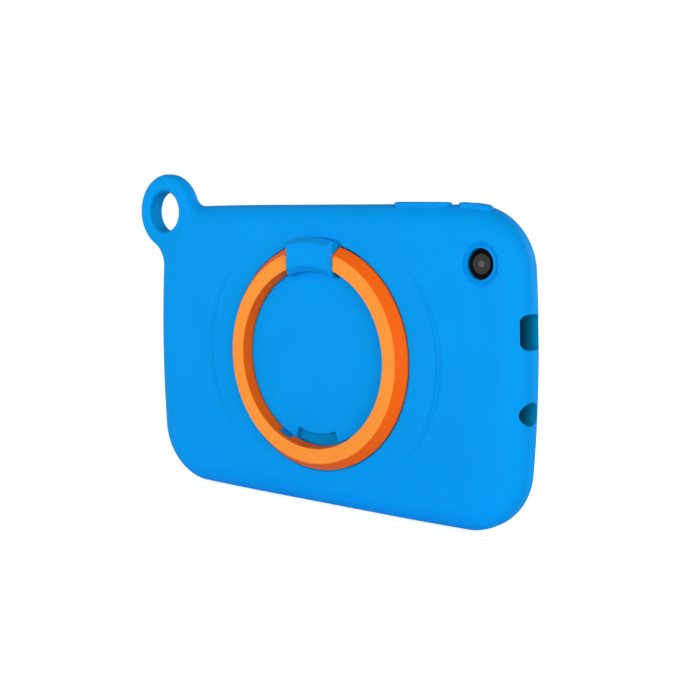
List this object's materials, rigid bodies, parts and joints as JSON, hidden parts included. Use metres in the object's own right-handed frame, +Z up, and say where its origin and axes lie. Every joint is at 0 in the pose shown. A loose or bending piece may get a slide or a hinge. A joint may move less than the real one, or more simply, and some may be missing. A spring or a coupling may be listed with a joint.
{
  "type": "kids tablet in a bumper case with a ring stand",
  "caption": "Kids tablet in a soft bumper case, with a corner loop, a ring that swings out as a stand or handle, covered buttons and cut-outs for the camera and ports.",
  "frame": {"origin": "on the floor under the middle of the tablet: the middle of the case's straight lower edge, at half the tablet's thickness", "axes": "+Z up, as the tablet stands on its long edge; -Y out of the back with the ring; +Y out of the screen; +X towards the side with the ports"},
  "size_m": [0.2211, 0.0234, 0.1481],
  "materials": {
    "case_blue": "soft matte",
    "ring_orange": "smooth satin",
    "plastic_black": "matte",
    "plastic_grey": "matte",
    "glass_black": "polished",
    "display_dark": "gloss",
    "lens_glass": "polished",
    "board_green": "solder mask",
    "tin": "bright tin",
    "steel": "plain",
    "battery_silver": "foil",
    "ribbon_amber": "film"
  },
  "bodies": {
    "case": {"bumper_case": "case_blue", "hinge_saddle": "case_blue", "saddle_anchor_plate": "steel", "saddle_screw_1": "steel", "saddle_screw_2": "steel", "saddle_screw_3": "steel", "rear_cover": "plastic_black", "mid_frame": "plastic_grey", "touch_glass": "glass_black", "display_panel": "display_dark", "battery": "battery_silver", "battery_ribbon": "ribbon_amber", "battery_connector": "plastic_grey", "main_board": "board_green", "shield_can": "tin", "usb_socket": "tin", "headphone_socket": "plastic_black", "card_socket": "tin", "microphone": "tin", "front_camera_module": "plastic_black", "speaker_module": "plastic_black", "wifi_antenna": "ribbon_amber", "rear_camera_module": "plastic_black", "camera_bezel": "plastic_black", "camera_window": "lens_glass", "button_board": "board_green", "volume_down_switch": "tin", "volume_up_switch": "tin", "power_switch": "tin", "display_ribbon": "ribbon_amber", "display_connector": "plastic_grey", "frame_screw_1": "steel", "frame_screw_2": "steel", "frame_screw_3": "steel", "frame_screw_4": "steel", "frame_screw_5": "steel", "frame_screw_6": "steel", "board_screw_1": "steel", "board_screw_2": "steel", "board_screw_3": "steel"},
    "ring": {"ring_stand": "ring_orange"},
    "volume_button": {"volume_cover": "case_blue", "volume_key": "plastic_black"},
    "power_button": {"power_cover": "case_blue", "power_key": "plastic_black"}
  },
  "joints": [
    {"name": "ring_hinge", "type": "hinge", "parent": "case", "child": "ring", "pos_m": [0, -0.0119, 0.1109], "axis": [-1, 0, 0], "range_deg": [0, 170]},
    {"name": "volume_rock", "type": "hinge", "parent": "case", "child": "volume_button", "pos_m": [0.0513, -0.001, 0.12715], "axis": [0, 1, 0], "range_deg": [-1.2, 1.2], "stiffness_Nm_per_rad": 0.7},
    {"name": "power_press", "type": "slide", "parent": "case", "child": "power_button", "axis": [0, 0, -1], "range_m": [0, 0.0004], "stiffness_N_per_m": 5000}
  ]
}
